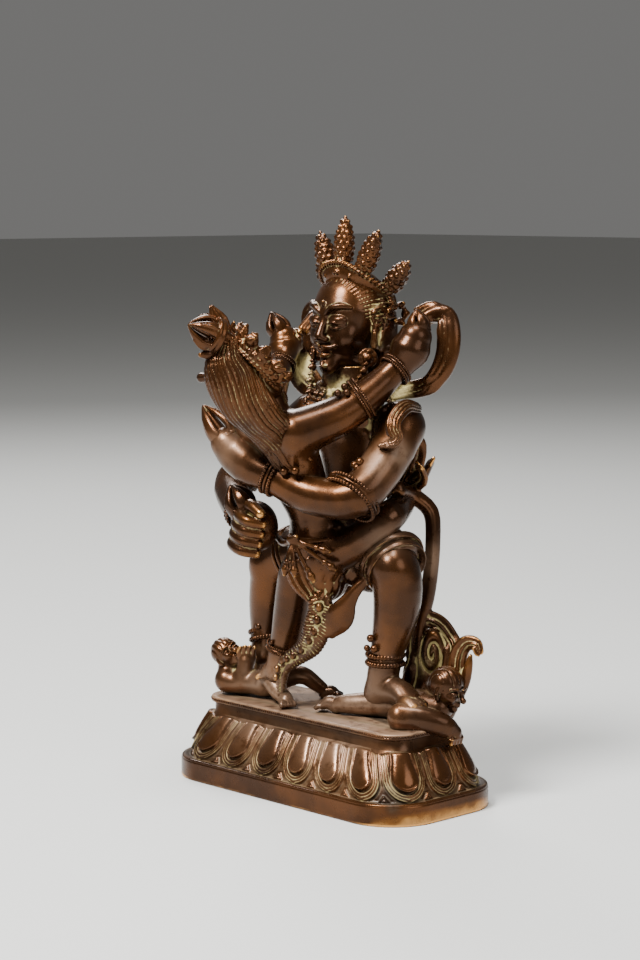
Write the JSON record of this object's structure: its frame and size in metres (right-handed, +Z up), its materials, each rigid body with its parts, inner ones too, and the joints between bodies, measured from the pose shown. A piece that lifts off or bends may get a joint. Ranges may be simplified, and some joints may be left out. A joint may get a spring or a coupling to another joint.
{
  "type": "statue",
  "caption": "Cast bronze statue of a crowned deity and consort in embrace, standing on trampled figures on an oblong lotus plinth.",
  "frame": {"origin": "centre of the plinth's flat underside", "axes": "+Z up; the deity faces -Y and its left side is +X; the plinth's long side runs along X"},
  "size_m": [0.12, 0.0958, 0.2049],
  "materials": {
    "plinth_bronze": "brown patinated bronze, rubbed to copper on the petals and rim, with pale residue in the grooves",
    "figure_bronze": "dark brown patinated bronze, rubbed golden on the high points, with pale residue in the grooves"
  },
  "bodies": {
    "root": {"lotus_plinth": "plinth_bronze", "figure_group": "figure_bronze"}
  },
  "joints": []
}
